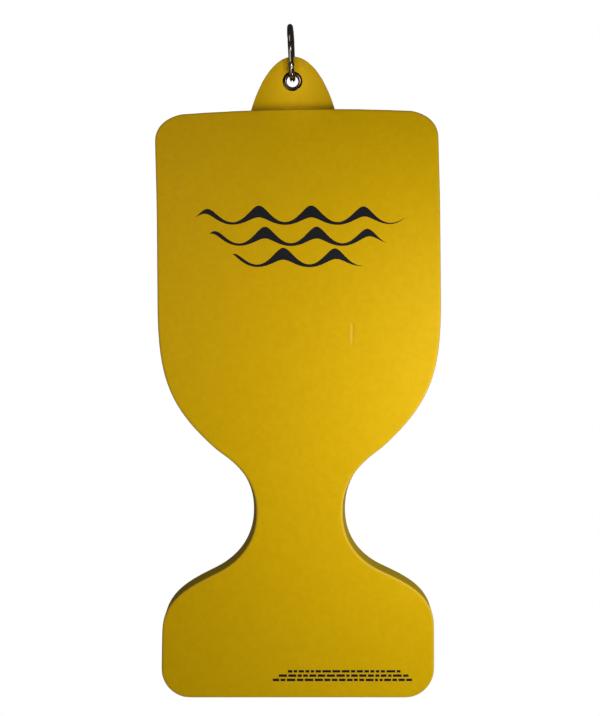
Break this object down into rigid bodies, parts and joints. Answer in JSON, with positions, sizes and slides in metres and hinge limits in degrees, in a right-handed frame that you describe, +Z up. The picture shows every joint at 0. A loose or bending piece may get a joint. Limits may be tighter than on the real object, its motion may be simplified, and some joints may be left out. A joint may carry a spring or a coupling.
{
  "type": "saddle float",
  "caption": "Hourglass pool saddle of vinyl-coated foam, hanging by a bell-shaped tab and metal eyelet from a steel snap hook with a sprung gate.",
  "frame": {"origin": "the underside of the snap hook's top bow, on the wire's centre line, where it hangs", "axes": "+Z up from the foot of the slab to the hook, -Y out of the slab's front face, +X to the right as the front is seen"},
  "size_m": [0.4067, 0.0398, 0.9618],
  "materials": {
    "vinyl": "satin dipped vinyl with a fine leathery grain",
    "foam": "closed-cell foam",
    "webbing": "woven polyester",
    "nickel": "polished nickel plate",
    "hook_steel": "bright zinc plated steel",
    "spring_steel": "drawn wire"
  },
  "bodies": {
    "snap_hook": {"hook_body": "hook_steel", "gate_rivet": "hook_steel"},
    "gate": {"hook_gate": "hook_steel", "nose_pin": "hook_steel", "gate_spring": "spring_steel"},
    "plunger": {"spring_plunger": "spring_steel"},
    "tab": {"tab_coating": "vinyl", "tab_webbing": "webbing", "eyelet": "nickel", "eyelet_washer": "nickel"},
    "float": {"vinyl_coating": "vinyl", "foam_front_ply": "foam", "foam_rear_ply": "foam"}
  },
  "joints": [
    {"name": "gate_swing", "type": "hinge", "parent": "snap_hook", "child": "gate", "pos_m": [0.00144, -0.01101, -0.05279], "axis": [-0.9967, 0.0698, -0.0418], "range_deg": [0, 25], "stiffness_Nm_per_rad": 0.3, "springref_deg": -68.75},
    {"name": "plunger_slide", "type": "slide", "parent": "gate", "child": "plunger", "axis": [-0.0502, -0.1234, 0.9911], "range_m": [0, 0.001], "deforming": ["gate_spring"]},
    {"name": "hook_sway", "type": "hinge", "parent": "snap_hook", "child": "tab", "pos_m": [0.00295, 0, -0.07044], "axis": [0, 1, 0], "range_deg": [-100, 100]},
    {"name": "tab_flex", "type": "hinge", "parent": "tab", "child": "float", "pos_m": [0, 0, -0.1136], "axis": [1, 0, 0], "range_deg": [-70, 70], "stiffness_Nm_per_rad": 0.15, "deforming": ["tab_coating", "tab_webbing"]}
  ],
  "couplings": [
    {"joint": "plunger_slide", "follows": "gate_swing", "m_per_rad": 0.0015}
  ]
}
